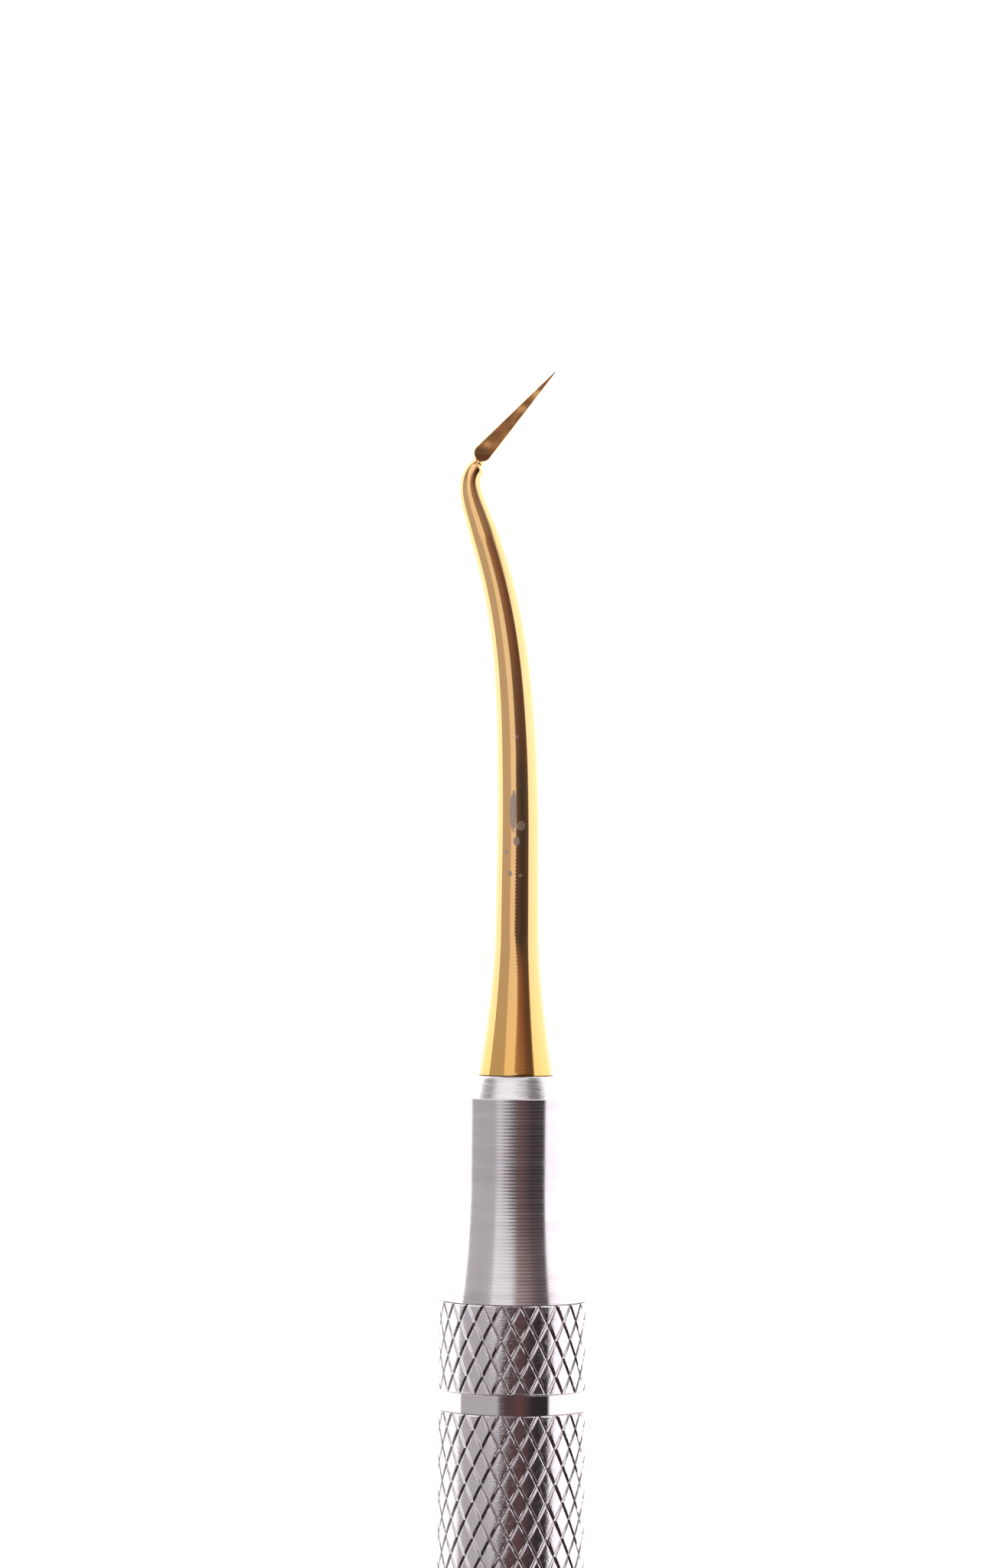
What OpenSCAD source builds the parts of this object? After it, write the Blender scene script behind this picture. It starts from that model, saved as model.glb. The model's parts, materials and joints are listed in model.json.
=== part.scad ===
// Double-ended dental explorer: a knurled tube handle with a collet chuck at each end,
// and a coated steel explorer insert held in each chuck.
// The instrument lies along X with its axis at half the grip diameter above Z = 0.
// Each end is built outwards along +X from the mouth of the tube, then end B is end A turned half round.

/* [Handle] */
// Diameter over the crests of the knurl
grip_d = 8.0; // [7.9:0.1:9.0]
// Length of the knurled tube
tube_len = 66.0; // [40:1:90]
// Bore of the hollow tube
tube_bore_d = 6.0; // [5.8:0.1:6.4]
// Chamfer on the ends of knurled pieces
edge_chamfer = 0.15; // [0.05:0.05:0.25]

/* [Spigot] */
// Diameter of the smooth band between handle and collar
band_d = 7.68; // [7.4:0.02:7.68]
// Length of the smooth band
band_len = 1.1; // [0.8:0.1:2.5]
// Length of the stub inside the tube
stub_len = 10.0; // [8:0.5:14]
// Outer diameter of the threaded nose
thread_d = 5.2; // [5.0:0.1:5.4]

/* [Collar and sleeve] */
// Length of the knurled collar
collar_len = 4.65; // [4.0:0.05:4.65]
// Distance from the collar's inner face to the front face of the sleeve
sleeve_front = 15.4; // [15.0:0.1:16.5]
// Diameter of the straight part of the sleeve
sleeve_d = 6.4; // [6.4:0.1:6.8]
// Radius of the concave flare towards the collar
flare_r = 33.5; // [30:0.5:60]

/* [Insert] */
// Diameter of the skirt where it seats on the collet
skirt_d = 4.0; // [3.6:0.1:4.4]
// Diameter of the stud held in the collet
stud_d = 2.3; // [2.0:0.1:2.4]
// Distance from the collar's inner face to the end of the stud inside the collet
stud_end = 5.0; // [4.6:0.1:8.0]

/* [Hidden] */

$fn = 96;
axis_h = grip_d / 2;
gap = 0.02;          // face to face clearance between pieces that move
slide_gap = 0.04;    // radial clearance of running fits
eps = 0.1;

collar_r = grip_d / 2 - 0.025;
band_r = band_d / 2;
thread_r = thread_d / 2;
guide_r = 2.5;       // plain nose that guides the sleeve
guide_end = 9.4;
stem_r = 1.7;        // collet stem inside the spigot
stem_start = 3.5;
screw_r = 1.0;
chamber_r = 2.9;     // front chamber of the sleeve, round the collet head
chamber_start = 9.0;

cone_front = sleeve_front + 1.15;  // front face of the collet, where the skirt seats
cone_front_r = 2.42;
cone_slope = 0.3;                  // radius lost per millimetre towards the front

flange_r = 3.38;                   // flange of the sleeve inside the collar
flange_start = 1.7;
flange_end = 2.5;
tail_r = 3.08;
cup_r = 3.42;                      // cup of the collar round the flange
cup_start = 1.5;
groove_r = 3.6;
ring_len = 0.3;
sleeve_base = collar_len + gap;

skirt_seat = cone_front + gap;
shank_straight_end = 30;           // the shank runs on the axis up to here

// Centre line of the bent shank in the XY plane, as two cubic curves
sweep_bend = [[29.6, 0], [39, 0.1], [42, 0.85], [46.5, 2.45]];
hook_bend = [[46.5, 2.45], [47.26, 2.69], [48.0, 2.88], [48.6, 2.34]];
// Shank radius against distance from the collar
shank_radii = [[29.6, 1.0], [30.2, 1.1], [37, 1.0], [45, 0.79], [47.1, 0.62], [48.6, 0.46]];
blade_base = [49.34, 2.06];
blade_tip = [53.67, -1.74];
blade_r = 0.5;
blade_tip_r = 0.03;
facet_height = 0.24;     // of the ground flat above the blade's own axis, at its root
facet_turn = [1, 2.2, 0];     // leans it a little, and drops it to the point
neck_r = 0.22;

function bezier(p, t) =
    pow(1 - t, 3) * p[0] + 3 * t * pow(1 - t, 2) * p[1] + 3 * t * t * (1 - t) * p[2] + pow(t, 3) * p[3];
function steps(n, first) = [for (i = [first:n]) i / n];
shank_path = concat([for (t = steps(20, 0)) bezier(sweep_bend, t)],
                    [for (t = steps(10, 1)) bezier(hook_bend, t)]);

// Radius of the sleeve: straight at the front, a concave arc towards the collar
flare_start = 11;
function sleeve_r(x) =
    sleeve_d / 2 + (x < flare_start ? flare_r - sqrt(flare_r * flare_r - pow(flare_start - x, 2)) : 0);

// Radius of the insert: a trumpet skirt that runs out into the straight shank
skirt_len = 7.3;
function skirt_r(x) =
    let (left = skirt_seat + skirt_len - x)
    1.16 + 0.0105 * (shank_straight_end - 3 - x)
    + (left > 0 ? (skirt_d / 2 - 1.27) * pow(left / skirt_len, 1.6) : 0);

// A turned solid along +X from a list of [radius, x] points
module turned(profile) {
    rotate([0, 90, 0])
        rotate_extrude()
            polygon(profile);
}

// A plain tube along +X
module ring(r_in, r_out, x, len) {
    turned([[r_in, x], [r_out, x], [r_out, x + len], [r_in, x + len]]);
}

// Places one end of the instrument: end 0 points along +X, end 1 along -X
module at_end(side) {
    translate([0, 0, axis_h])
        rotate([0, 0, 180 * side])
            translate([tube_len / 2 + band_len, 0, 0])
                children();
}

module handle_tube() {
    half = tube_len / 2;
    r = grip_d / 2;
    bore = tube_bore_d / 2;
    color("silver")
        translate([0, 0, axis_h])
            turned([[bore, -half], [r - edge_chamfer, -half], [r, -half + edge_chamfer],
                    [r, half - edge_chamfer], [r - edge_chamfer, half], [bore, half]]);
}

// Turned spigot: stub in the tube, polished band, threaded nose and plain guide
module spigot() {
    stub_r = tube_bore_d / 2;
    seal_x = -band_len - 1.2;
    color("lightgray")
        difference() {
            turned([[0, -band_len - stub_len], [stub_r - 0.2, -band_len - stub_len],
                    [stub_r, -band_len - stub_len + 0.2], [stub_r, -band_len],
                    [band_r - 0.05, -band_len], [band_r, -band_len + 0.05],
                    [band_r, -0.05], [band_r - 0.05, 0],
                    [thread_r, 0], [thread_r, 4.6], [guide_r, 4.6],
                    [guide_r, guide_end - 0.2], [guide_r - 0.2, guide_end], [0, guide_end]]);
            ring(stub_r - 0.45, stub_r + eps, seal_x - 0.35, 0.7);
            turned([[0, stem_start], [stem_r, stem_start], [stem_r, guide_end + eps], [0, guide_end + eps]]);
            turned([[0, -band_len - stub_len - eps], [screw_r, -band_len - stub_len - eps],
                    [screw_r, stem_start + eps], [0, stem_start + eps]]);
            key_hole(0.3);
        }
}

// The key pin stands in the side of the spigot away from the working side
module key_hole(r) {
    translate([6.5, 0, -2.95])
        cylinder(r = r, h = 1.2);
}

module spigot_seal() {
    stub_r = tube_bore_d / 2;
    color("dimgray")
        rotate([0, 90, 0])
            translate([0, 0, -band_len - 1.2])
                rotate_extrude()
                    translate([stub_r - 0.225, 0])
                        circle(r = 0.22, $fn = 32);
}

module sleeve_key_pin() {
    color("gray")
        translate([6.5, 0, -2.93])
            cylinder(r = 0.3, h = 1.18);
}

// Grub screw behind the stud, reached through the collet with the insert out
module stop_screw() {
    front = stud_end - gap;
    color("gray")
        difference() {
            turned([[0, 0.4], [screw_r - 0.15, 0.4], [screw_r, 0.55],
                    [screw_r, front - 0.1], [screw_r - 0.1, front], [0, front]]);
            translate([front - 0.8, 0, 0])
                rotate([0, 90, 0])
                    cylinder(d = 1.0, h = 0.8 + eps, $fn = 6);
        }
}

// Slotted collet: a stem fixed in the spigot, and an upper and a lower jaw with a cone in front
module collet() {
    bore_r = stud_d / 2 + gap;
    jaw_r = chamber_r - slide_gap;
    color("gainsboro")
        difference() {
            turned([[bore_r, stem_start + gap], [stem_r, stem_start + gap], [stem_r, 10],
                    [jaw_r - 0.6, 11], [jaw_r - 0.6, 13], [jaw_r, 13.8],
                    [jaw_r, cone_front - (jaw_r - cone_front_r) / cone_slope],
                    [cone_front_r, cone_front - 0.03], [cone_front_r - 0.03, cone_front],
                    [bore_r, cone_front]]);
            for (turn = [90, 270])
                rotate([turn, 0, 0])
                    translate([10.4, -0.11, 0])
                        cube([cone_front, 0.22, 4]);
        }
}

// Plain conical sleeve that presses on the jaws; its flange sits inside the collar
module nose_sleeve() {
    mouth_r = cone_front_r + cone_slope * (cone_front - sleeve_front) + gap;
    mouth_len = (chamber_r - mouth_r) / cone_slope;
    bore_r = guide_r + slide_gap;
    thread_bore_r = thread_r + 2 * slide_gap;
    flare = [for (i = [0:14]) let (x = sleeve_base + (flare_start - sleeve_base) * i / 14) [sleeve_r(x), x]];
    color("silver")
        difference() {
            turned(concat([[thread_bore_r, flange_start], [flange_r, flange_start],
                           [flange_r, flange_end], [tail_r, flange_end], [tail_r, sleeve_base]],
                          flare,
                          [[sleeve_d / 2, sleeve_front - 0.05], [sleeve_d / 2 - 0.05, sleeve_front],
                           [mouth_r, sleeve_front], [chamber_r, sleeve_front - mouth_len],
                           [chamber_r, chamber_start], [bore_r, chamber_start],
                           [bore_r, 4.8], [thread_bore_r, 4.8]]));
            translate([4.7, -0.33, -3.05])
                cube([chamber_start - 4.6, 0.66, 1.2]);
        }
}

// Knurled clamp collar: a threaded floor, a cup for the sleeve's flange and a snap ring groove
module knurled_collar() {
    bore_r = thread_r + slide_gap;
    c = edge_chamfer;
    groove_x = flange_end + gap;
    color("silver")
        turned([[bore_r, gap], [collar_r - c, gap], [collar_r, gap + c],
                [collar_r, collar_len - c], [collar_r - c, collar_len],
                [cup_r, collar_len], [cup_r, groove_x + ring_len + gap],
                [groove_r, groove_x + ring_len + gap], [groove_r, groove_x], [cup_r, groove_x],
                [cup_r, cup_start], [bore_r, cup_start]]);
}

// Open ring that keeps the sleeve's flange in the collar
module collar_snap_ring() {
    color("gray")
        difference() {
            ring(tail_r + slide_gap, groove_r - gap, flange_end + 1.5 * gap, ring_len);
            translate([flange_end, -0.6, 0])
                cube([1, 1.2, 5]);
        }
}

module thrust_washer() {
    color("goldenrod")
        ring(thread_r + 2 * slide_gap, flange_r, cup_start + gap, flange_start - cup_start - gap);
}

// Bent part of the shank, a tapering round rod along the path
module bent_shank() {
    sides = 20;
    last = len(shank_path) - 1;
    function heading(i) = shank_path[min(i + 1, last)] - shank_path[max(i - 1, 0)];
    rings = [for (i = [0:last])
        let (h = heading(i) / norm(heading(i)), p = shank_path[i], r = lookup(p[0], shank_radii))
        for (k = [0:sides - 1])
            let (a = 360 * k / sides)
            [p[0] - h[1] * r * cos(a), p[1] + h[0] * r * cos(a), r * sin(a)]];
    walls = [for (i = [0:last - 1], k = [0:sides - 1])
        let (n = (k + 1) % sides)
        [i * sides + k, (i + 1) * sides + k, (i + 1) * sides + n, i * sides + n]];
    polyhedron(rings, concat([[for (k = [0:sides - 1]) k]], walls,
                             [[for (k = [sides - 1:-1:0]) last * sides + k]]));
}

// Pointed blade: a slim cone with a rounded root, ground flat on its working side
module blade() {
    run = blade_tip - blade_base;
    length = norm(run);
    translate([blade_base[0], blade_base[1], 0])
        rotate([0, 0, atan2(run[1], run[0])])
            difference() {
                union() {
                    sphere(r = blade_r);
                    rotate([0, 90, 0])
                        cylinder(r1 = blade_r, r2 = blade_tip_r, h = length);
                }
                rotate(facet_turn)
                    translate([-1, -1, facet_height])
                        cube([length + 2, 2, 1]);
            }
}

module neck() {
    from = hook_bend[3] - [0.1, 0];
    run = blade_base - from;
    translate([from[0], from[1], 0])
        rotate([0, 0, atan2(run[1], run[0])])
            rotate([0, 90, 0])
                cylinder(r = neck_r, h = norm(run));
}

// Coated insert: stud, trumpet skirt, shank and blade in one piece
module explorer_tip() {
    trumpet = [for (i = [0:16]) let (x = skirt_seat + skirt_len * i / 16) [skirt_r(x), x]];
    stud_r = stud_d / 2;
    color("goldenrod")
        union() {
            turned(concat([[0, stud_end], [stud_r - 0.2, stud_end], [stud_r, stud_end + 0.2],
                           [stud_r, skirt_seat]],
                          trumpet,
                          [[skirt_r(shank_straight_end), shank_straight_end], [0, shank_straight_end]]));
            bent_shank();
            neck();
            blade();
        }
}

handle_tube();
at_end(0) explorer_tip();  // explorer_tip_a
at_end(0) collet();  // collet_a
at_end(0) nose_sleeve();  // nose_sleeve_a
at_end(0) knurled_collar();  // knurled_collar_a
at_end(0) collar_snap_ring();  // collar_snap_ring_a
at_end(0) thrust_washer();  // thrust_washer_a
at_end(0) spigot();  // spigot_a
at_end(0) spigot_seal();  // spigot_seal_a
at_end(0) stop_screw();  // stop_screw_a
at_end(0) sleeve_key_pin();  // sleeve_key_pin_a
at_end(1) explorer_tip();  // explorer_tip_b
at_end(1) collet();  // collet_b
at_end(1) nose_sleeve();  // nose_sleeve_b
at_end(1) knurled_collar();  // knurled_collar_b
at_end(1) collar_snap_ring();  // collar_snap_ring_b
at_end(1) thrust_washer();  // thrust_washer_b
at_end(1) spigot();  // spigot_b
at_end(1) spigot_seal();  // spigot_seal_b
at_end(1) stop_screw();  // stop_screw_b
at_end(1) sleeve_key_pin();  // sleeve_key_pin_b
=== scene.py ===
# Double-ended dental explorer: knurled tube handle, a collet chuck at each end and a gold coated insert.
import json
import math

import bpy
from mathutils import Matrix, Vector


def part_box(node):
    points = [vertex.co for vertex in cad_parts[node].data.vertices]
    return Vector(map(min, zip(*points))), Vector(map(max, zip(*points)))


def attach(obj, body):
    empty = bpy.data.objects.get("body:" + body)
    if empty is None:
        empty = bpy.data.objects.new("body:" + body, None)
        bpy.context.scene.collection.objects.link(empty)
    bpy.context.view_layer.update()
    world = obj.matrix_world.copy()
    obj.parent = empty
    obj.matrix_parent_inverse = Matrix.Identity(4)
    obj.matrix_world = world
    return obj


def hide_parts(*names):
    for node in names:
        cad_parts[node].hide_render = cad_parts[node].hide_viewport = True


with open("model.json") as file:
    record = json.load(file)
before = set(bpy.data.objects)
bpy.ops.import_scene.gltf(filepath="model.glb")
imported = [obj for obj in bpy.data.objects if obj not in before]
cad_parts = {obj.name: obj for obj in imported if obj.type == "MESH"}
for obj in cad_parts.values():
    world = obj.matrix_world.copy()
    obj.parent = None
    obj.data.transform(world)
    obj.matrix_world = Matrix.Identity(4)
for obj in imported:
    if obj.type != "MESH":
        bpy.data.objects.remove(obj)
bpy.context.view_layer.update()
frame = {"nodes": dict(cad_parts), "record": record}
print("frame loaded")

mm = 0.001
axisHeight = frame["record"]["mounts"][0]["pos_m"][2]  # the grip's own axis
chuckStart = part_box("knurled_collar_a")[0].x - 0.02 * mm  # face of the smooth band, where the collar seats


def along(distance, side=0.0):
    # a point on end A, in millimetres outwards from the smooth band's face, and sideways
    return Vector((chuckStart + distance * mm, side * mm, axisHeight))


# camera, floor and light

shot = {
    "lens": 147.66,        # mm on a 36 mm sensor
    "distance": 0.3394,    # from the lens to the instrument's axis
    "aimAt": 31.91,        # mm along end A
    "aside": 0.84,         # mm the axis stands to the right of the middle of the frame
    "lean": math.radians(0.544),
}


def addCamera():
    lean = shot["lean"]
    right = Vector((math.sin(lean), -math.cos(lean), 0))
    up = Vector((math.cos(lean), math.sin(lean), 0))
    aim = along(shot["aimAt"]) - right * shot["aside"] * mm
    camera = bpy.data.cameras.new("shotCamera")
    camera.lens = shot["lens"]
    camera.sensor_width = 36
    camera.clip_start = 0.01
    camera.clip_end = 20
    holder = bpy.data.objects.new("shotCamera", camera)
    bpy.context.scene.collection.objects.link(holder)
    turn = Matrix((right, up, Vector((0, 0, 1)))).transposed()
    holder.matrix_world = Matrix.Translation(aim + Vector((0, 0, shot["distance"]))) @ turn.to_4x4()
    bpy.context.scene.camera = holder


addCamera()
bpy.context.scene.view_settings.view_transform = "Standard"


def joinNodes(tree, kind, inputs=None, **settings):
    # one node with its settings; an input is a number, a colour or another node's output
    made = tree.nodes.new(kind)
    for key, value in settings.items():
        setattr(made, key, value)
    for key, value in (inputs or {}).items():
        if isinstance(value, bpy.types.NodeSocket):
            tree.links.new(value, made.inputs[key])
        else:
            made.inputs[key].default_value = value
    return made


def calc(tree, operation, *values):
    made = joinNodes(tree, "ShaderNodeMath", dict(enumerate(values)), operation=operation)
    return made.outputs[0]


def fade(tree, value, low, high, outLow=0.0, outHigh=1.0):
    made = joinNodes(tree, "ShaderNodeMapRange", {"Value": value, "From Min": low, "From Max": high,
                     "To Min": outLow, "To Max": outHigh}, interpolation_type="SMOOTHSTEP")
    return made.outputs[0]


def blendColours(tree, share, first, second, mode="MIX"):
    made = joinNodes(tree, "ShaderNodeMix", data_type="RGBA", blend_type=mode)
    for socket, value in ((made.inputs["Factor"], share), (made.inputs[6], first), (made.inputs[7], second)):
        if isinstance(value, bpy.types.NodeSocket):
            tree.links.new(value, socket)
        else:
            socket.default_value = value
    return made.outputs[2]


def ramp(tree, value, stops):
    made = joinNodes(tree, "ShaderNodeValToRGB", {"Fac": value})
    made.color_ramp.interpolation = "LINEAR"
    points = made.color_ramp.elements
    while len(points) < len(stops):
        points.new(0.5)
    for point, (place, colour) in zip(points, stops):
        point.position = place
        point.color = (*colour, 1)
    return made.outputs[0]


# The studio as the instrument sees it. A wall is listed by degrees round the instrument from straight up,
# once for each of four heights; a height is the angle towards end A, in degrees.
studio = {
    "walls": [
        (-3, [(-180, 1.8), (-94, 1.6), (-91, 0.58), (-25, 0.58), (-20, 0.16), (-12, (0.11, 0.068, 0.068)),
              (0, (0.11, 0.065, 0.064)), (6, (0.15, 0.072, 0.066)), (15, (0.15, 0.068, 0.066)),
              (20, (0.10, 0.06, 0.06)), (24, (0.08, 0.06, 0.06)), (30, (0.045, 0.033, 0.036)),
              (57, 0.03), (62, 1.5), (180, 1.8)]),
        (1, [(-180, 1.8), (-94, 1.6), (-91, 0.58), (-27, 0.58), (-22, 0.25), (-14, 0.115),
             (0, (0.11, 0.10, 0.12)), (9, (0.09, 0.08, 0.10)), (20, (0.06, 0.055, 0.075)),
             (33, (0.07, 0.065, 0.085)), (45, (0.10, 0.09, 0.10)), (57, (0.13, 0.11, 0.11)),
             (62, 1.5), (180, 1.8)]),
        (10, [(-180, 1.8), (-94, 1.6), (-91, 0.58), (-12, 0.6), (-6, (0.49, 0.33, 0.26)),
              (5, (0.42, 0.27, 0.22)), (15, (0.30, 0.18, 0.16)), (25, (0.26, 0.13, 0.12)),
              (33, (0.19, 0.10, 0.10)), (42, (0.13, 0.09, 0.09)), (57, (0.12, 0.10, 0.10)),
              (63, 1.5), (180, 1.8)]),
        (30, [(-180, 1.8), (-96, 1.5), (-86, 0.5), (-78, 0.40), (-69, 0.28), (-58, 0.36), (25, 0.5),
              (35, 0.32), (45, 0.25), (64, 0.27), (70, 0.4), (80, 1.5), (180, 1.8)]),
    ],
    # the soft lamp above end A: height, its left and right edge round the instrument, and its level
    "lamp": [
        (-4.8, -33, -33, 0.0), (-4.2, -33, -22, 0.8), (-3, -34, -13, 0.92), (-1.9, -38, -11, 0.95),
        (-0.5, -38, -14, 0.95), (1, -36, -8, 0.95), (3, -34, -6, 0.95), (8, -37, 4, 0.98),
        (12, -37, 4, 0.98), (17, -37, -5, 1.05), (25, -47, 5, 1.07), (32, -57, 20, 1.1),
        (45, -70, 38, 1.15), (60, -80, 50, 0.8), (72, -100, 70, 0.3), (90, -180, 180, 0.3),
    ],
    "lampFrom": -10,       # the height where the lamp's table of edges starts, and the degrees it spans
    "lampSpan": 100,
    "lampMost": 2,         # levels are stored as a share of this
    "lampTint": (1.0, 0.985, 0.995),
    "lampEdge": 2.5,       # degrees, half the softness of its sides
    "shade": {"from": -12, "to": -26, "backFrom": -50, "backTo": -66, "level": 0.4},  # the room's darker foot
    "shadeSides": (62, 56),            # degrees round, where that darker foot ends
    "backdrop": (1.0, 1.0, 1.0, 1),    # what the camera itself sees behind everything
}


def grey(level):
    # a level alone stands for a grey that is a trace short of green
    return level if isinstance(level, tuple) else (level, level * 0.97, level)


def addWorld():
    world = bpy.data.worlds.new("studioLight")
    bpy.context.scene.world = world
    world.use_nodes = True
    tree = world.node_tree
    tree.nodes.clear()
    place = joinNodes(tree, "ShaderNodeTexCoord")
    x, y, z = joinNodes(tree, "ShaderNodeSeparateXYZ", {0: place.outputs["Generated"]}).outputs
    around = calc(tree, "DEGREES", calc(tree, "ARCTAN2", calc(tree, "MULTIPLY", y, -1.0), z))
    height = calc(tree, "DEGREES", calc(tree, "ARCSINE", x))
    share = calc(tree, "MULTIPLY_ADD", around, 1 / 360, 0.5)
    lit = None
    for level, wall in studio["walls"]:
        stops = [((angle + 180) / 360, grey(colour)) for angle, colour in wall]
        seen = ramp(tree, share, stops)
        lit = seen if lit is None else blendColours(tree, fade(tree, height, below, level), lit, seen)
        below = level
    dim = studio["shade"]
    foot = calc(tree, "MULTIPLY", fade(tree, height, dim["from"], dim["to"]),
                fade(tree, height, dim["backTo"], dim["backFrom"]))
    inFront = fade(tree, calc(tree, "ABSOLUTE", around), *studio["shadeSides"])
    foot = calc(tree, "MULTIPLY_ADD", calc(tree, "MULTIPLY", foot, inFront), dim["level"] - 1, 1.0)
    footShade = joinNodes(tree, "ShaderNodeCombineColor", dict(enumerate([foot] * 3))).outputs[0]
    lit = blendColours(tree, 1.0, lit, footShade, "MULTIPLY")
    low, span, most = studio["lampFrom"], studio["lampSpan"], studio["lampMost"]
    edges = ramp(tree, calc(tree, "DIVIDE", calc(tree, "ADD", height, -low), span),
                 [((place - low) / span, ((left + 180) / 360, (right + 180) / 360, level / most))
                  for place, left, right, level in studio["lamp"]])
    left, right, level = joinNodes(tree, "ShaderNodeSeparateColor", {0: edges}).outputs
    left, right = (calc(tree, "MULTIPLY_ADD", edge, 360.0, -180.0) for edge in (left, right))
    soft = studio["lampEdge"]
    inside = calc(tree, "MULTIPLY", fade(tree, calc(tree, "SUBTRACT", around, left), -soft, soft),
                  fade(tree, calc(tree, "SUBTRACT", around, right), soft, -soft))
    level = calc(tree, "MULTIPLY", level, most)
    shares = [calc(tree, "MULTIPLY", level, tint) for tint in studio["lampTint"]]
    lamp = joinNodes(tree, "ShaderNodeCombineColor", dict(enumerate(shares))).outputs[0]
    inside = calc(tree, "MULTIPLY", inside, fade(tree, height, studio["lamp"][0][0], studio["lamp"][1][0]))
    lit = blendColours(tree, inside, lit, lamp)
    seen = joinNodes(tree, "ShaderNodeLightPath")
    lit = blendColours(tree, seen.outputs["Is Camera Ray"], lit, studio["backdrop"])
    shade = joinNodes(tree, "ShaderNodeBackground", {"Color": lit, "Strength": 1.0})
    joinNodes(tree, "ShaderNodeOutputWorld", {"Surface": shade.outputs[0]})


addWorld()

table = {"size": 3.0, "colour": (0.8, 0.8, 0.8, 1), "roughness": 0.9, "glow": 1.2}


def addFloor():
    bpy.ops.object.select_all(action="DESELECT")
    bpy.ops.mesh.primitive_plane_add(size=table["size"], location=(0, 0, 0))
    floor = bpy.context.object
    floor.name = "lightTable"
    material = bpy.data.materials.new("tableTop")
    material.use_nodes = True
    shader = material.node_tree.nodes["Principled BSDF"]
    shader.inputs["Base Color"].default_value = table["colour"]
    shader.inputs["Roughness"].default_value = table["roughness"]
    shader.inputs["Emission Color"].default_value = (1, 1, 1, 1)
    shader.inputs["Emission Strength"].default_value = table["glow"]
    floor.data.materials.append(material)


addFloor()
print("camera, floor and light set")

# shared ways of making pieces


def clearSelection():
    if bpy.context.object and bpy.context.object.mode != "OBJECT":
        bpy.ops.object.mode_set(mode="OBJECT")
    bpy.ops.object.select_all(action="DESELECT")


def workOn(piece):
    clearSelection()
    piece.select_set(True)
    bpy.context.view_layer.objects.active = piece


def placeHere(piece, name):
    # the place goes into the mesh, so that the object sits at the origin
    piece.name = name
    bpy.ops.object.transform_apply(location=True, rotation=True, scale=True)
    return piece


def pick(piece, wanted):
    # selects the points that wanted() says, and the edges and faces between them
    bpy.ops.mesh.select_all(action="DESELECT")
    bpy.ops.object.mode_set(mode="OBJECT")
    for point in piece.data.vertices:
        point.select = wanted(point.co)
    bpy.ops.object.mode_set(mode="EDIT")
    bpy.ops.mesh.select_mode(type="VERT")


def nudge(piece, change):
    # moves each selected point to where change() says
    bpy.ops.object.mode_set(mode="OBJECT")
    for point in piece.data.vertices:
        if point.select:
            point.co = change(point.co)
    bpy.ops.object.mode_set(mode="EDIT")


def tidyMesh(gapSize=0.0004 * mm):
    bpy.ops.mesh.select_all(action="SELECT")
    bpy.ops.mesh.remove_doubles(threshold=gapSize)
    bpy.ops.mesh.normals_make_consistent(inside=False)
    bpy.ops.object.mode_set(mode="OBJECT")


def growRings(name, rings, sides, closed=False):
    # a round piece grown ring by ring; a ring is (distance, sideways, heading, radius), in mm and radians
    distance, side, heading, radius = rings[0]
    clearSelection()
    bpy.ops.mesh.primitive_circle_add(vertices=sides, radius=radius * mm, location=along(distance, side),
                                      rotation=(0, math.pi / 2, heading))
    piece = placeHere(bpy.context.object, name)
    bpy.ops.object.mode_set(mode="EDIT")
    bpy.ops.mesh.select_mode(type="VERT")
    bpy.ops.mesh.select_all(action="SELECT")
    if not closed:
        bpy.ops.mesh.edge_face_add()
    for (d0, s0, h0, r0), (d1, s1, h1, r1) in zip(rings, rings[1:]):
        centre = along(d1, s1)
        step = {"value": centre - along(d0, s0)}
        if closed:
            bpy.ops.mesh.extrude_edges_move(TRANSFORM_OT_translate=step)
        else:
            bpy.ops.mesh.extrude_region_move(TRANSFORM_OT_translate=step)
        if abs(h1 - h0) > 1e-7:
            bpy.ops.transform.rotate(value=h0 - h1, orient_axis="Z", center_override=centre)
        if abs(r1 - r0) > 1e-7:
            bpy.ops.transform.resize(value=(r1 / r0,) * 3, center_override=centre)
    tidyMesh()
    return piece


def turned(name, profile, sides=128):
    # a closed turned shape; its profile is (distance, radius) in mm and comes back to its start
    rings = [(distance, 0, 0, radius) for distance, radius in profile + profile[:1]]
    return growRings(name, rings, sides, True)


def smoothBy(piece, degrees):
    workOn(piece)
    bpy.ops.object.shade_smooth_by_angle(angle=math.radians(degrees))


def applyAll(piece):
    workOn(piece)
    for modifier in list(piece.modifiers):
        bpy.ops.object.modifier_apply(modifier=modifier.name)


def carve(piece, cutter):
    # takes the cutter's shape out of the piece
    taken = piece.modifiers.new("carve", "BOOLEAN")
    taken.object = cutter
    taken.solver = "EXACT"
    applyAll(piece)
    bpy.data.objects.remove(cutter)


def slab(centre, size, turn=0.0):
    # a box turned round the instrument's axis, for slots and keyways
    clearSelection()
    bpy.ops.mesh.primitive_cube_add(size=1, location=centre)
    cutter = bpy.context.object
    cutter.scale = [part * mm for part in size]
    bpy.ops.object.transform_apply(location=True, rotation=True, scale=True)
    axis = Vector((0, 0, axisHeight))
    cutter.data.transform(Matrix.Translation(axis) @ Matrix.Rotation(turn, 4, "X") @ Matrix.Translation(-axis))
    return cutter


def settle(piece, name, body, node, material):
    piece.name = name
    piece.data.name = name
    piece.data.materials.clear()
    piece.data.materials.append(material)
    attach(piece, body)
    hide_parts(node)


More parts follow.
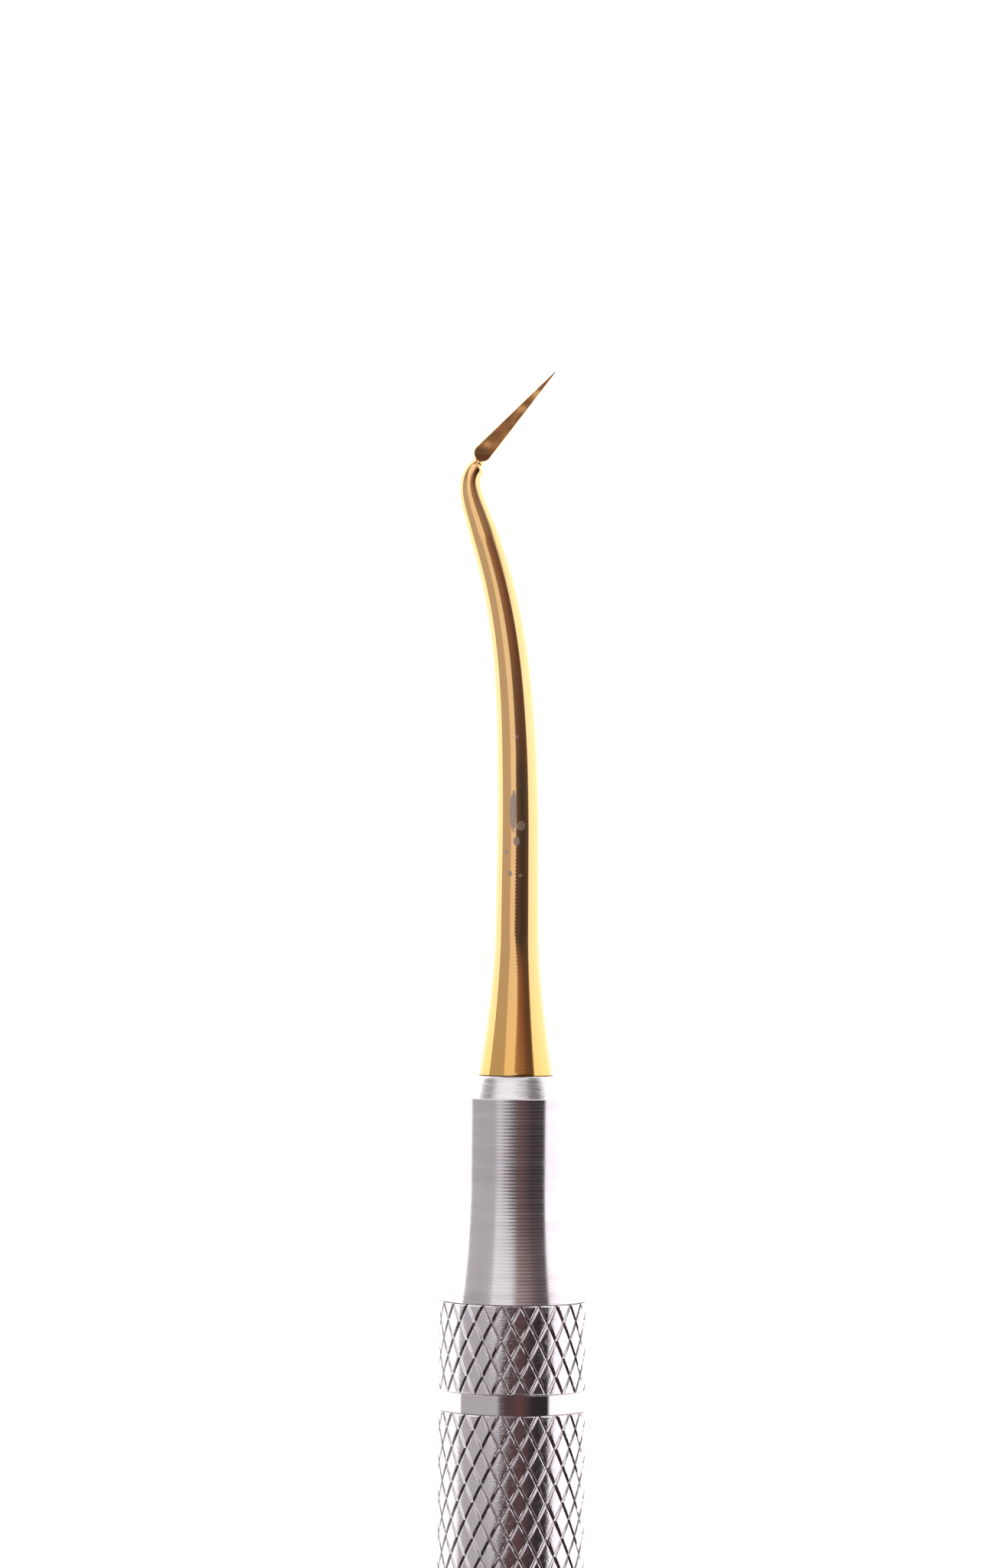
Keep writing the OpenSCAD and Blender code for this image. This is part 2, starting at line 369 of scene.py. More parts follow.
def bothEnds(piece, name, node, body, material):
    # end A as made, and end B as a copy turned half round, each with its own mesh and on its own body
    other = bpy.data.objects.new(name + "_b", piece.data.copy())
    bpy.context.scene.collection.objects.link(other)
    other.data.transform(Matrix.Rotation(math.pi, 4, "Z"))
    for made, end in ((piece, "_a"), (other, "_b")):
        settle(made, name + end, body if body == "handle" else body + end, node + end, material)


# finishes


def metal(name, colour, roughness):
    material = bpy.data.materials.new(name)
    material.use_nodes = True
    shader = material.node_tree.nodes["Principled BSDF"]
    shader.inputs["Base Color"].default_value = (*colour, 1)
    shader.inputs["Metallic"].default_value = 1.0
    shader.inputs["Roughness"].default_value = roughness
    return material, material.node_tree, shader


def noise(tree, scale, detail=2.0, roughness=0.5):
    # a noise value; scale is in waves per millimetre along X, Y and Z
    place = joinNodes(tree, "ShaderNodeTexCoord")
    mapped = joinNodes(tree, "ShaderNodeMapping", {"Vector": place.outputs["Object"],
                       "Scale": [part / mm for part in scale]})
    made = joinNodes(tree, "ShaderNodeTexNoise", {"Vector": mapped.outputs[0], "Scale": 1.0,
                     "Detail": detail, "Roughness": roughness})
    return made.outputs[0]


def bump(tree, shader, height, depth):
    # depth in mm between the lowest and highest value
    made = joinNodes(tree, "ShaderNodeBump", {"Height": height, "Distance": depth * mm, "Strength": 1.0})
    tree.links.new(made.outputs[0], shader.inputs["Normal"])


steel = (0.70, 0.66, 0.68)


def alongBothEnds(tree):
    # distance outwards from either chuck in millimetres, then the point's own x, y and z
    place = joinNodes(tree, "ShaderNodeTexCoord")
    x, y, z = joinNodes(tree, "ShaderNodeSeparateXYZ", {0: place.outputs["Object"]}).outputs
    return calc(tree, "MULTIPLY_ADD", calc(tree, "ABSOLUTE", x), 1 / mm, -chuckStart / mm), x, y, z


def ridges(tree, pitch, slant=0.0):
    # a wave along the instrument, pitch in mm; slant is how far it climbs in one turn, in waves
    distance, x, y, z = alongBothEnds(tree)
    turn = calc(tree, "ARCTAN2", y, calc(tree, "SUBTRACT", z, axisHeight))
    phase = calc(tree, "MULTIPLY_ADD", turn, slant, calc(tree, "MULTIPLY", distance, 2 * math.pi / pitch))
    return calc(tree, "MULTIPLY_ADD", calc(tree, "SINE", phase), 0.5, 0.5)


satin = {
    "ridge": 0.18,               # mm from ridge to ridge
    "relief": 0.0026,            # mm, their depth
    "uneven": 0.3,               # how much the random marks add to them
    "shine": (0.15, 0.22),       # roughness, from the smoothest to the dullest mark
    "tints": ((0.66, 0.62, 0.64, 1), (0.74, 0.70, 0.72, 1)),
    "streak": 0.9, "streakTurn": 0.25,
}


def satinTurned():
    # fine turning ridges round the sleeve, uneven in depth and in shine
    material, tree, shader = metal("satinTurned", steel, 0.24)
    marks = noise(tree, (5.5, 0.06, 0.06), 3.0, 0.6)
    bands = noise(tree, (0.9, 0.05, 0.05), 2.0)
    tree.links.new(fade(tree, marks, 0.3, 0.7, *satin["shine"]), shader.inputs["Roughness"])
    tint = blendColours(tree, fade(tree, bands, 0.35, 0.65), *satin["tints"])
    tree.links.new(tint, shader.inputs["Base Color"])
    relief = calc(tree, "MULTIPLY_ADD", marks, satin["uneven"], ridges(tree, satin["ridge"], 1.0))
    bump(tree, shader, relief, satin["relief"])
    shader.inputs["Anisotropic"].default_value = satin["streak"]
    shader.inputs["Anisotropic Rotation"].default_value = satin["streakTurn"]
    roundIt = joinNodes(tree, "ShaderNodeTangent", direction_type="RADIAL", axis="X")
    tree.links.new(roundIt.outputs[0], shader.inputs["Tangent"])
    return material


def coarseTurned():
    material, tree, shader = metal("coarseTurned", (0.80, 0.77, 0.78), 0.2)
    marks = noise(tree, (7.0, 0.5, 0.5), 4.0, 0.7)
    tree.links.new(fade(tree, marks, 0.3, 0.7, 0.12, 0.35), shader.inputs["Roughness"])
    bump(tree, shader, marks, 0.02)
    return material


def mirrorSteel():
    material, tree, shader = metal("mirrorSteel", steel, 0.05)
    scratches = noise(tree, (18.0, 0.12, 0.12), 2.0)
    tree.links.new(fade(tree, scratches, 0.45, 0.75, 0.04, 0.16), shader.inputs["Roughness"])
    bump(tree, shader, scratches, 0.0008)
    return material


def knurledSteel():
    material, tree, shader = metal("knurledSteel", steel, 0.12)
    smears = noise(tree, (3.0, 3.0, 3.0), 3.0, 0.6)
    tree.links.new(fade(tree, smears, 0.35, 0.7, 0.07, 0.24), shader.inputs["Roughness"])
    grain = noise(tree, (12.0, 12.0, 12.0), 3.0)
    bump(tree, shader, grain, 0.0075)
    return material


coat = {
    # millimetres along the insert, and the coating's colour there
    "colours": [(16.6, (0.845, 0.47, 0.12)), (21, (0.85, 0.49, 0.165)), (26, (0.87, 0.50, 0.195)),
                (33, (0.87, 0.53, 0.215))],
    "colourSpan": 60,
    "shine": 0.07,
    "worn": (0.40, 0.33, 0.33, 1), "wornShare": 0.75, "wornShine": 0.45,
    # worn places: mm along the insert, mm to the left, half length and half width
    "patches": [(30.5, 0.26, 1.05, 0.17), (29.7, -0.15, 0.27, 0.23), (28.9, 0.07, 0.24, 0.18),
                (28.3, 0.6, 0.12, 0.1), (27.2, 0.4, 0.14, 0.12), (27.1, -0.15, 0.1, 0.09),
                (34.4, 0.1, 0.1, 0.08)],
    "patchEdge": (1.15, 0.85),           # share of a patch's half size where it starts and is full
    "ragged": 1.2,                       # how far the grain pushes that edge in and out
    "topFade": 0.2,                      # mm above the axis where patches are full; there are none below
    "grain": (5.0, 5.0, 5.0),
    "specks": (0.73, 0.76),              # grain values between which small specks start
    "ridge": 0.19, "ridgeDepth": 0.0005, "ridgesEnd": 29.5, "ridgesFade": 2,
    "ripple": 0.05, "rippleFrom": (48.9, 49.3),   # mm, the hand-ground flat's unevenness and where it starts
}


def goldCoating():
    material, tree, shader = metal("goldCoating", (0.857, 0.497, 0.20), coat["shine"])
    distance, x, y, z = alongBothEnds(tree)
    span = coat["colourSpan"]
    stops = [(at / span, colour) for at, colour in coat["colours"]]
    shades = ramp(tree, calc(tree, "DIVIDE", distance, span), stops)
    left = calc(tree, "MULTIPLY", y, calc(tree, "MULTIPLY", calc(tree, "SIGN", x), 1 / mm))
    grain = noise(tree, coat["grain"], 2.0)
    ragged = calc(tree, "MULTIPLY_ADD", grain, coat["ragged"], -coat["ragged"] / 2)
    patches = 0.0
    for middle, aside, halfLength, halfWidth in coat["patches"]:
        lengthways = calc(tree, "MULTIPLY_ADD", distance, 1 / halfLength, -middle / halfLength)
        across = calc(tree, "MULTIPLY_ADD", left, 1 / halfWidth, -aside / halfWidth)
        reach = calc(tree, "ADD", calc(tree, "MULTIPLY", lengthways, lengthways),
                     calc(tree, "MULTIPLY", across, across))
        patch = fade(tree, calc(tree, "ADD", reach, ragged), *coat["patchEdge"])
        patches = calc(tree, "MAXIMUM", patches, patch)
    onTop = fade(tree, z, axisHeight, axisHeight + coat["topFade"] * mm)
    specks = fade(tree, grain, *coat["specks"])
    worn = calc(tree, "MAXIMUM", calc(tree, "MULTIPLY", patches, onTop), specks)
    shown = calc(tree, "MULTIPLY", worn, coat["wornShare"])
    tree.links.new(blendColours(tree, shown, shades, coat["worn"]), shader.inputs["Base Color"])
    tree.links.new(fade(tree, worn, 0.0, 1.0, coat["shine"], coat["wornShine"]), shader.inputs["Roughness"])
    turnedPart = fade(tree, distance, coat["ridgesEnd"], coat["ridgesEnd"] - coat["ridgesFade"])
    fine = calc(tree, "MULTIPLY", ridges(tree, coat["ridge"]),
                calc(tree, "MULTIPLY", turnedPart, coat["ridgeDepth"]))
    flat = calc(tree, "MULTIPLY", noise(tree, (0.7, 0.7, 0.7), 1.0), fade(tree, distance, *coat["rippleFrom"]))
    bump(tree, shader, calc(tree, "MULTIPLY_ADD", flat, coat["ripple"], fine), 1.0)
    shader.inputs["Coat Weight"].default_value = 1.0
    shader.inputs["Coat Roughness"].default_value = 0.05
    return material


def plainMetal(name, colour, roughness, grainSize):
    material, tree, shader = metal(name, colour, roughness)
    grain = noise(tree, (grainSize,) * 3, 3.0)
    tree.links.new(fade(tree, grain, 0.3, 0.7, roughness * 0.7, roughness * 1.4), shader.inputs["Roughness"])
    bump(tree, shader, grain, 0.004)
    return material


finishes = {
    "satin": satinTurned(),
    "coarse": coarseTurned(),
    "mirror": mirrorSteel(),
    "knurled": knurledSteel(),
    "gold": goldCoating(),
    "spring": plainMetal("springSteel", (0.42, 0.41, 0.41), 0.35, 6.0),
    "bronze": plainMetal("sinteredBronze", (0.62, 0.38, 0.20), 0.4, 8.0),
}
print("finishes mixed")

# knurled pieces: rows of diamonds on a flat strip, rolled round into a tube

knurl = {
    "starts": 25,            # diamonds in a row round the handle
    "pitch": 1.88,           # mm between rows along the handle
    "crest": 4.0,            # mm, radius over the flats
    "steps": [(0.082, 0.078), (0.03, 0.011), (0.02, 0.002)],   # (width, rise), groove wall to worn rim
    "cuts": 2,               # points added along each edge of a diamond, so that it can bend
    "firstRow": 0.93,        # mm along end A to the middle of a diamond
    "firstAngle": 12.5,      # degrees from the top to the middle of that diamond
    "smooth": 24,
}


def oneDiamond(name, x, z):
    # a flat-topped diamond, x along the instrument, z round it, outwards towards -y
    wide = 2 * math.pi * knurl["crest"] / knurl["starts"]
    deep = sum(rise for width, rise in knurl["steps"]) * mm
    clearSelection()
    bpy.ops.mesh.primitive_circle_add(vertices=4, radius=mm, fill_type="NGON", location=(x * mm, deep, z * mm),
                                      rotation=(math.pi / 2, 0, 0))
    piece = bpy.context.object
    piece.scale = (knurl["pitch"] / 2, wide / 2, 1)
    placeHere(piece, name)
    bpy.ops.object.mode_set(mode="EDIT")
    bpy.ops.mesh.select_all(action="SELECT")
    for width, rise in knurl["steps"]:
        bpy.ops.mesh.inset(thickness=width * mm, depth=rise * mm)
    bpy.ops.mesh.select_all(action="DESELECT")
    bpy.ops.mesh.select_mode(type="EDGE")
    bpy.ops.object.mode_set(mode="OBJECT")
    points = piece.data.vertices
    for edge in piece.data.edges:
        first, second = edge.vertices
        edge.select = abs(points[first].co.y - points[second].co.y) < 1e-8  # only those round the flat
    bpy.ops.object.mode_set(mode="EDIT")
    bpy.ops.mesh.subdivide(number_cuts=knurl["cuts"])
    bpy.ops.mesh.select_mode(type="VERT")
    bpy.ops.object.mode_set(mode="OBJECT")
    return piece


def diamondSheet(name, low, high):
    # all the diamonds between two places along the instrument, in mm, with rows to spare past both
    wide = 2 * math.pi * knurl["crest"] / knurl["starts"]
    tall = knurl["pitch"]
    first = along(knurl["firstRow"]).x / mm
    first -= math.ceil((first - low) / tall + 1) * tall
    start = knurl["crest"] * math.radians(90 - knurl["firstAngle"])
    sheet = oneDiamond(name, first, start)
    rows = math.ceil((high - low) / tall) + 3
    for count, step in ((knurl["starts"], (0, 0, wide * mm)), (rows, (tall * mm, 0, 0))):
        repeat = sheet.modifiers.new("rows", "ARRAY")
        repeat.count = count
        repeat.use_relative_offset = False
        repeat.use_constant_offset = True
        repeat.constant_offset_displace = step
    applyAll(sheet)
    between = bpy.data.objects.new("between", sheet.data.copy())
    bpy.context.scene.collection.objects.link(between)
    between.data.transform(Matrix.Translation((tall / 2 * mm, 0, wide / 2 * mm)))
    between.select_set(True)
    bpy.ops.object.join()
    bpy.ops.object.mode_set(mode="EDIT")
    bpy.ops.mesh.select_mode(type="VERT")
    tidyMesh()
    return sheet


def squareEnd(sheet, end, outwards, chamfer, inside):
    # cuts one end of the sheet, breaks its edge and turns in towards the bore; places are in mm
    bpy.ops.object.mode_set(mode="EDIT")
    for place, normal in (((end - outwards * chamfer, 0), (outwards, -1, 0)), ((end, 0), (outwards, 0, 0))):
        bpy.ops.mesh.select_all(action="SELECT")
        bpy.ops.mesh.bisect(plane_co=(place[0] * mm, 0, 0), plane_no=normal, clear_outer=True, threshold=1e-8)
    slack = 1e-7

    def onCut(point):
        onEnd = abs(point.x - end * mm) < slack
        return onEnd or abs((point.x - (end - outwards * chamfer) * mm) * outwards - point.y) < slack

    pick(sheet, onCut)
    for place, depth in [(end, chamfer)] + inside:
        bpy.ops.mesh.extrude_edges_move(TRANSFORM_OT_translate={"value": (0, 0, 0)})
        if place == end and depth == chamfer:
            nudge(sheet, lambda point: Vector((end * mm, max(point.y, chamfer * mm), point.z)))
        else:
            nudge(sheet, lambda point: Vector((place * mm, depth * mm, point.z)))
    bpy.ops.object.mode_set(mode="OBJECT")


def rollUp(sheet):
    # bends the strip once round the instrument's axis and closes its seam
    heights = [point.co.z for point in sheet.data.vertices]
    bend = sheet.modifiers.new("roll", "SIMPLE_DEFORM")
    bend.deform_method = "BEND"
    bend.deform_axis = "X"
    girth = 2 * math.pi * knurl["crest"] * mm
    bend.angle = 2 * math.pi * (max(heights) - min(heights)) / girth
    applyAll(sheet)
    sheet.data.transform(Matrix.Translation((0, -knurl["crest"] * mm, axisHeight)))
    bpy.ops.object.mode_set(mode="EDIT")
    tidyMesh()


def knurledPiece(name, low, high, chamfer, lowInside, highInside):
    # lowInside and highInside lead from each end into the bore, as (place, depth below the crest) in mm
    sheet = diamondSheet(name, low, high)
    squareEnd(sheet, low, -1, chamfer, lowInside)
    squareEnd(sheet, high, 1, chamfer, highInside)
    rollUp(sheet)
    bpy.ops.object.mode_set(mode="EDIT")
    bpy.ops.mesh.select_all(action="DESELECT")
    bpy.ops.mesh.select_non_manifold()
    bpy.ops.mesh.bridge_edge_loops()
    tidyMesh()
    smoothBy(sheet, knurl["smooth"])
    return sheet


tube = {"half": 33.0, "bore": 3.0, "chamfer": 0.05, "lip": 0.1}


def makeHandle():
    half = tube["half"]
    wall = knurl["crest"] - tube["bore"]
    lip = tube["lip"]
    inside = [[(end * half, wall - lip), (end * (half - lip), wall)] for end in (-1, 1)]
    piece = knurledPiece("knurledTube", -half, half, tube["chamfer"], inside[0], inside[1])
    settle(piece, "knurledTube", "handle", "handle_tube", finishes["knurled"])


makeHandle()
print("handle knurled")

collar = {
    "back": 0.02, "front": 4.65, "radius": 3.975, "chamfer": 0.05,
    "bore": 2.64, "cup": 3.42, "cupStart": 1.5,
    "grooveStart": 2.52, "grooveEnd": 2.84, "groove": 3.6, "lip": 0.05,
}


def makeCollars():
    zero = chuckStart / mm
    crest = knurl["crest"]
    lip = collar["lip"]
    bore, cup, groove = (crest - collar[key] * crest / collar["radius"] for key in ("bore", "cup", "groove"))
    back = [(collar["back"], bore - lip), (collar["back"] + lip, bore), (collar["cupStart"], bore),
            (collar["cupStart"], cup), (collar["grooveStart"], cup), (collar["grooveStart"], groove),
            (collar["grooveEnd"], groove), (collar["grooveEnd"], cup)]
    front = [(collar["front"], cup - lip), (collar["front"] - lip, cup)]
    back, front = ([(zero + place, depth) for place, depth in side] for side in (back, front))
    piece = knurledPiece("knurledCollar", zero + collar["back"], zero + collar["front"], collar["chamfer"],
                         back, front)
    workOn(piece)
    bpy.ops.object.mode_set(mode="EDIT")
    bpy.ops.mesh.select_all(action="SELECT")
    share = collar["radius"] / crest
    bpy.ops.transform.resize(value=(1, share, share), center_override=along(0))
    bpy.ops.object.mode_set(mode="OBJECT")
    bothEnds(piece, "knurledCollar", "knurled_collar", "collar", finishes["knurled"])


makeCollars()
print("collars knurled")

# turned pieces

sleeve = {
    "base": 4.67, "front": 15.4, "nose": 3.2, "flareStart": 11.0, "flareRound": 33.5,
    "flange": 3.38, "flangeStart": 1.7, "flangeEnd": 2.5, "tail": 3.08,
    "mouth": 2.785, "lip": 0.02, "mouthSlope": 0.3, "chamber": 2.9, "chamberStart": 9.0,
    "guide": 2.54, "guideStart": 4.8, "threadBore": 2.68,
    "keyMiddle": 6.9, "keyDrop": 2.45, "keySize": (4.4, 0.66, 1.2),
    "edge": 0.025, "flareSteps": 24, "smooth": 30,
}


def sleeveRadius(place):
    left = max(0.0, sleeve["flareStart"] - place)
    return sleeve["nose"] + sleeve["flareRound"] - math.sqrt(sleeve["flareRound"] ** 2 - left ** 2)


def makeSleeves():
    s = sleeve
    base = s["base"]
    steps = s["flareSteps"]
    flare = [base + s["edge"] + (s["flareStart"] - base - s["edge"]) * i / steps for i in range(steps + 1)]
    profile = [(s["flangeStart"], s["threadBore"]), (s["flangeStart"], s["flange"]),
               (s["flangeEnd"], s["flange"]), (s["flangeEnd"], s["tail"]),
               (base, s["tail"]), (base, sleeveRadius(base) - s["edge"])]
    profile += [(place, sleeveRadius(place)) for place in flare]
    profile += [(s["front"] - s["edge"], s["nose"]), (s["front"], s["nose"] - s["edge"]),
                (s["front"], s["mouth"] + s["lip"]), (s["front"] - s["lip"], s["mouth"]),
                (s["front"] - (s["chamber"] - s["mouth"]) / s["mouthSlope"], s["chamber"]),
                (s["chamberStart"], s["chamber"]), (s["chamberStart"], s["guide"]),
                (s["guideStart"], s["guide"]), (s["guideStart"], s["threadBore"])]
    piece = turned("noseSleeve", profile)
    keyway = slab(along(s["keyMiddle"]) - Vector((0, 0, s["keyDrop"] * mm)), s["keySize"])
    carve(piece, keyway)
    smoothBy(piece, s["smooth"])
    bothEnds(piece, "noseSleeve", "nose_sleeve", "sleeve", finishes["satin"])


makeSleeves()

spigot = {
    "stubEnd": -11.1, "stub": 3.0, "bandStart": -1.1, "band": 3.84, "edge": 0.05,
    "thread": 2.6, "threadEnd": 4.6, "threadPitch": 0.5, "threadDepth": 0.2, "threadSteps": 90,
    "threadFlank": 0.42, "runIn": 0.25, "runOut": 0.4, "runSpare": 0.02,
    "guide": 2.5, "guideEnd": 9.4, "stemBore": 1.7, "stemStart": 3.5, "screwBore": 1.0,
    "sealGroove": (-2.65, -1.95), "sealDepth": 0.45, "bevel": 0.2,
    "pinHole": 0.3, "pinHoleDeep": 1.2, "pinMiddle": 6.5, "pinDrop": 2.35, "sides": 96, "smooth": 32,
}


def makeSpigots():
    s = spigot
    grooveStart, grooveEnd = s["sealGroove"]
    grooveFloor = s["stub"] - s["sealDepth"]
    steps = s["threadSteps"]
    bevel = s["bevel"]
    ridge = [(s["threadEnd"] * i / steps, s["thread"]) for i in range(steps + 1)]
    profile = [(s["stubEnd"], s["screwBore"]), (s["stubEnd"], s["stub"] - bevel),
               (s["stubEnd"] + bevel, s["stub"]), (grooveStart, s["stub"]), (grooveStart, grooveFloor),
               (grooveEnd, grooveFloor), (grooveEnd, s["stub"]),
               (s["bandStart"], s["stub"]), (s["bandStart"], s["band"] - s["edge"]),
               (s["bandStart"] + s["edge"], s["band"]), (-s["edge"], s["band"]), (0, s["band"] - s["edge"])]
    profile += ridge
    profile += [(s["threadEnd"], s["guide"]), (s["guideEnd"] - bevel, s["guide"]),
                (s["guideEnd"], s["guide"] - bevel), (s["guideEnd"], s["stemBore"]),
                (s["stemStart"], s["stemBore"]), (s["stemStart"], s["screwBore"])]
    piece = turned("threadedSpigot", profile, s["sides"])
    cutThread(piece)
    clearSelection()
    bpy.ops.mesh.primitive_cylinder_add(vertices=32, radius=s["pinHole"] * mm, depth=s["pinHoleDeep"] * mm,
                                        location=along(s["pinMiddle"]) - Vector((0, 0, s["pinDrop"] * mm)))
    carve(piece, placeHere(bpy.context.object, "keyHole"))
    smoothBy(piece, s["smooth"])
    bothEnds(piece, "threadedSpigot", "spigot", "handle", finishes["mirror"])


def cutThread(piece):
    # sinks a helical groove into the plain nose, running out at both ends
    pitch = spigot["threadPitch"] * mm
    for point in piece.data.vertices:
        y, z = point.co.y, point.co.z - axisHeight
        place = point.co.x - chuckStart
        radius = math.hypot(y, z)
        onThread = 0 < place < (spigot["threadEnd"] - spigot["runSpare"]) * mm
        if abs(radius - spigot["thread"] * mm) > 1e-6 or not onThread:
            continue
        turn = (place / pitch + math.atan2(y, z) / (2 * math.pi)) % 1
        groove = max(0.0, 1 - abs(turn - 0.5) / spigot["threadFlank"])
        runOut = min(1.0, place / (spigot["runIn"] * mm),
                     (spigot["threadEnd"] * mm - place) / (spigot["runOut"] * mm))
        share = 1 - spigot["threadDepth"] * mm * groove * runOut / radius
        point.co = Vector((point.co.x, y * share, z * share + axisHeight))


makeSpigots()

collet = {
    "back": 3.52, "stem": 1.7, "bore": 1.17, "neck": 2.26, "head": 2.86, "front": 16.55, "frontRound": 2.42,
    "stemEnd": 10.0, "neckStart": 11.0, "neckEnd": 13.0, "headStart": 13.8, "edge": 0.04, "coneSteps": 12,
    "slope": 0.3, "slot": 0.22, "slotStart": 10.4, "slotLength": 7.0, "slotHigh": 4,
    "slotTurns": (90, 270), "smooth": 30,
}


def makeCollets():
    c = collet
    coneStart = c["front"] - (c["head"] - c["frontRound"]) / c["slope"]
    steps = c["coneSteps"]
    cone = [(coneStart + (c["front"] - c["edge"] - coneStart) * i / steps,
             c["head"] + (c["frontRound"] - c["head"]) * i / steps) for i in range(steps + 1)]
    profile = [(c["back"], c["bore"]), (c["back"], c["stem"]), (c["stemEnd"], c["stem"]),
               (c["neckStart"], c["neck"]), (c["neckEnd"], c["neck"]), (c["headStart"], c["head"])] + cone
    profile += [(c["front"], c["frontRound"] - c["edge"]), (c["front"], c["bore"] + c["edge"]),
                (c["front"] - c["edge"], c["bore"])]
    piece = turned("slottedCollet", profile)
    reach = c["slotLength"]
    high = c["slotHigh"]
    for turn in c["slotTurns"]:
        centre = along(c["slotStart"] + reach / 2) + Vector((0, 0, high / 2 * mm))
        carve(piece, slab(centre, (reach, c["slot"], high), math.radians(turn)))
    smoothBy(piece, c["smooth"])
    bothEnds(piece, "slottedCollet", "collet", "handle", finishes["coarse"])


makeCollets()
print("chucks turned")

# the coated insert: stud, trumpet skirt, bent shank, neck and ground blade

insert = {
    "studEnd": 5.0, "stud": 1.15, "studEdge": 0.2, "seat": 16.57, "straightEnd": 29.6,
    "skirt": 2.0, "skirtLength": 7.3, "skirtEdge": ((0, 0.06), (0.02, 0.015)), "skirtFirst": 0.07,
    "skirtRings": 44, "skirtCrowding": 1.25, "skirtLast": 0.4, "skirtCore": 1.27, "skirtCurve": 1.6,
    "straight": 1.16, "straightAt": 27, "straightTaper": 0.0105,
    "bendRings": 46, "hookRings": 22,
    "bend": ((29.6, 0), (39, 0.1), (42, 0.85), (46.5, 2.45)),
    "hook": ((46.5, 2.45), (47.26, 2.69), (48.0, 2.88), (48.6, 2.34)),
    "rounds": ((29.6, 1.135), (33, 1.10), (37, 1.0), (45, 0.79), (47.1, 0.62), (48.6, 0.46)),
    "bladeBase": (49.34, 2.06), "bladeTip": (53.67, -1.74), "bladeRound": 0.5, "bladePoint": 0.03,
    "bladeAngles": (3, 12, 22, 32, 42, 52, 62, 72, 81), "bladeRings": 40, "bladeSides": 64,
    "bladeEnd": ((0.018, 0.022), (0.028, 0.008)),   # (past the point, radius), the blunted tip
    "neck": 0.22, "facetHeight": 0.24, "facetLean": 1.0, "facetFall": 2.2, "facetEdge": 0.012,
    "sides": 80, "smooth": 35,
}


def skirtRadius(place):
    left = insert["seat"] + insert["skirtLength"] - place
    straight = insert["straight"] + insert["straightTaper"] * (insert["straightAt"] - place)
    flare = max(0.0, left / insert["skirtLength"]) ** insert["skirtCurve"]
    return straight + (insert["skirt"] - insert["skirtCore"]) * flare


def shankRadius(place):
    for (x0, r0), (x1, r1) in zip(insert["rounds"], insert["rounds"][1:]):
        if place <= x1:
            share = (place - x0) / (x1 - x0)
            return r0 + (r1 - r0) * share
    return insert["rounds"][-1][1]


def curvePoint(ends, share):
    # place and heading on a cubic curve
    rest = 1 - share
    weights = (rest ** 3, 3 * share * rest ** 2, 3 * share ** 2 * rest, share ** 3)
    slopes = (-3 * rest ** 2, 3 * rest ** 2 - 6 * share * rest,
              6 * share * rest - 3 * share ** 2, 3 * share ** 2)
    x, y = (sum(w * point[i] for w, point in zip(weights, ends)) for i in (0, 1))
    dx, dy = (sum(w * point[i] for w, point in zip(slopes, ends)) for i in (0, 1))
    return x, y, math.atan2(dy, dx)


def shankRings():
    i = insert
    rings = [(i["studEnd"], 0, 0, i["stud"] - i["studEdge"]), (i["studEnd"] + i["studEdge"], 0, 0, i["stud"]),
             (i["seat"], 0, 0, i["stud"])]
    rings += [(i["seat"] + further, 0, 0, i["skirt"] - less) for further, less in i["skirtEdge"]]
    steps = i["skirtRings"]
    first = i["seat"] + i["skirtFirst"]
    for k in range(steps + 1):
        place = first + (i["straightEnd"] - i["skirtLast"] - first) * (k / steps) ** i["skirtCrowding"]
        rings.append((place, 0, 0, skirtRadius(place)))
    for ends, count, start in ((i["bend"], i["bendRings"], 0), (i["hook"], i["hookRings"], 1)):
        for k in range(start, count + 1):
            x, y, heading = curvePoint(ends, k / count)
            rings.append((x, y, heading, shankRadius(x)))
    return rings


def neckRings(rings):
    # from the shank's end over its rounded shoulder to the middle of the blade's root
    x, y, heading, radius = rings[-1]
    across = insert["bladeBase"][1] - y
    down = insert["bladeBase"][0] - x
    steps = [(0.04, 0.45), (0.08, 0.425), (0.12, 0.38), (0.18, 0.32), (0.24, 0.29), (0.29, 0.305), (0.33, 0.3),
             (0.37, 0.26), (0.5, insert["neck"]), (0.85, insert["neck"])]
    return [(x + down * share, y + across * share, heading, r) for share, r in steps]


